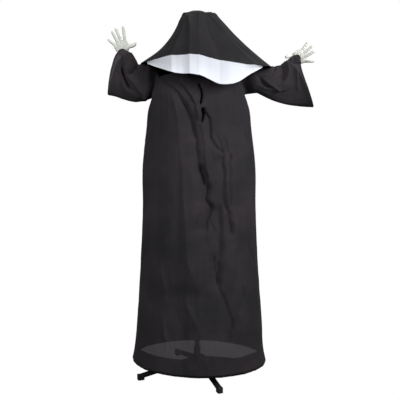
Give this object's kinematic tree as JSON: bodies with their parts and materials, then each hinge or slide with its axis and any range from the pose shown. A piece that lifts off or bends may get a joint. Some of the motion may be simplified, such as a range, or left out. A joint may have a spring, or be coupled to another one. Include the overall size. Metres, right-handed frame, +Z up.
{
  "type": "animated standing nun figure",
  "caption": "Life-size robed and hooded figure on a cross base, arms raised in bell sleeves, with a head that lifts on a motor link.",
  "frame": {"origin": "centre of the box's bottom: on the floor, between the outermost points", "axes": "+Z up, -Y the way the figure faces, +X to the left arm's side"},
  "size_m": [1.1588, 0.6636, 1.9959],
  "materials": {
    "robe": "matt",
    "hood_cloth": "matt",
    "band_cloth": "matt",
    "skin": "matt",
    "black_steel": "satin",
    "zinc_steel": "satin",
    "black_plastic": "satin",
    "grey_plastic": "satin",
    "eye": "gloss",
    "cell": "gloss",
    "board": "satin",
    "foot_rubber": "matt"
  },
  "bodies": {
    "stand": {"base_hub": "black_steel", "leg_back": "black_steel", "leg_front": "black_steel", "leg_left": "black_steel", "leg_right": "black_steel", "foot_back": "foot_rubber", "foot_front": "foot_rubber", "foot_left": "foot_rubber", "foot_right": "foot_rubber", "lower_pole": "black_steel", "upper_pole": "black_steel", "pole_collar": "black_plastic", "torso_bracket": "black_steel", "shoulder_bar": "black_steel", "shoulder_socket_right": "black_plastic", "shoulder_socket_left": "black_plastic", "shoulder_pad_right": "black_plastic", "shoulder_pad_left": "black_plastic", "neck_fork": "black_steel", "neck_axle": "zinc_steel", "gearbox_case": "grey_plastic", "gearbox_cover": "grey_plastic", "motor_can": "zinc_steel", "motor_plate": "zinc_steel", "control_box": "black_plastic", "battery_door": "black_plastic", "battery_1": "cell", "battery_2": "cell", "battery_3": "cell", "control_board": "board", "box_strap": "black_plastic", "speaker_cup": "black_plastic", "speaker_cone": "grey_plastic", "robe_front_right": "robe", "robe_front_left": "robe", "robe_back_right": "robe", "robe_back_left": "robe", "hem_hoop": "black_plastic"},
    "head": {"head_yoke": "black_steel", "neck_plate": "black_plastic", "face_shell": "skin", "back_shell": "black_plastic", "eye_right": "eye", "eye_left": "eye", "hood": "hood_cloth", "coif": "band_cloth"},
    "rocker": {"rocker_arm": "zinc_steel", "drive_shaft": "zinc_steel"},
    "rod": {"push_rod": "zinc_steel"},
    "arm_right": {"arm_tube_right": "black_steel", "sleeve_right": "robe"},
    "arm_left": {"arm_tube_left": "black_steel", "sleeve_left": "robe"},
    "hand_right": {"wrist_plug_right": "black_plastic", "hand_right": "skin"},
    "hand_left": {"wrist_plug_left": "black_plastic", "hand_left": "skin"},
    "switch": {"power_switch": "grey_plastic"}
  },
  "joints": [
    {"name": "head_nod", "type": "hinge", "parent": "stand", "child": "head", "pos_m": [-0.07465, 0.02, 1.735], "axis": [-1, 0, 0], "range_deg": [0, 50], "deforming": ["hood", "coif"]},
    {"name": "rocker_turn", "type": "hinge", "parent": "stand", "child": "rocker", "pos_m": [-0.07465, 0.046, 1.555], "axis": [-1, 0, 0], "range_deg": [0, 50]},
    {"name": "rod_pivot", "type": "hinge", "parent": "rocker", "child": "rod", "pos_m": [-0.07465, 0.07701, 1.56629], "axis": [-1, 0, 0], "range_deg": [-50, 0]},
    {"name": "arm_right_swing", "type": "hinge", "parent": "stand", "child": "arm_right", "pos_m": [-0.22495, 0, 1.6], "axis": [1, 0, 0], "range_deg": [-20, 40], "deforming": ["sleeve_right"]},
    {"name": "arm_left_swing", "type": "hinge", "parent": "stand", "child": "arm_left", "pos_m": [0.07565, 0, 1.6], "axis": [1, 0, 0], "range_deg": [-20, 40], "deforming": ["sleeve_left"]},
    {"name": "hand_right_turn", "type": "hinge", "parent": "arm_right", "child": "hand_right", "pos_m": [-0.46465, 0, 1.775], "axis": [-0.1023, 0, 0.9948], "range_deg": [-45, 45]},
    {"name": "hand_left_turn", "type": "hinge", "parent": "arm_left", "child": "hand_left", "pos_m": [0.43335, 0, 1.75], "axis": [0.506, 0, 0.8625], "range_deg": [-45, 45]},
    {"name": "power_switch_rock", "type": "hinge", "parent": "stand", "child": "switch", "pos_m": [-0.01865, 0.0345, 1.23], "axis": [0, 1, 0], "range_deg": [-14, 0]}
  ],
  "couplings": [
    {"joint": "rocker_turn", "follows": "head_nod", "ratio": 1},
    {"joint": "rod_pivot", "follows": "head_nod", "ratio": -1}
  ]
}
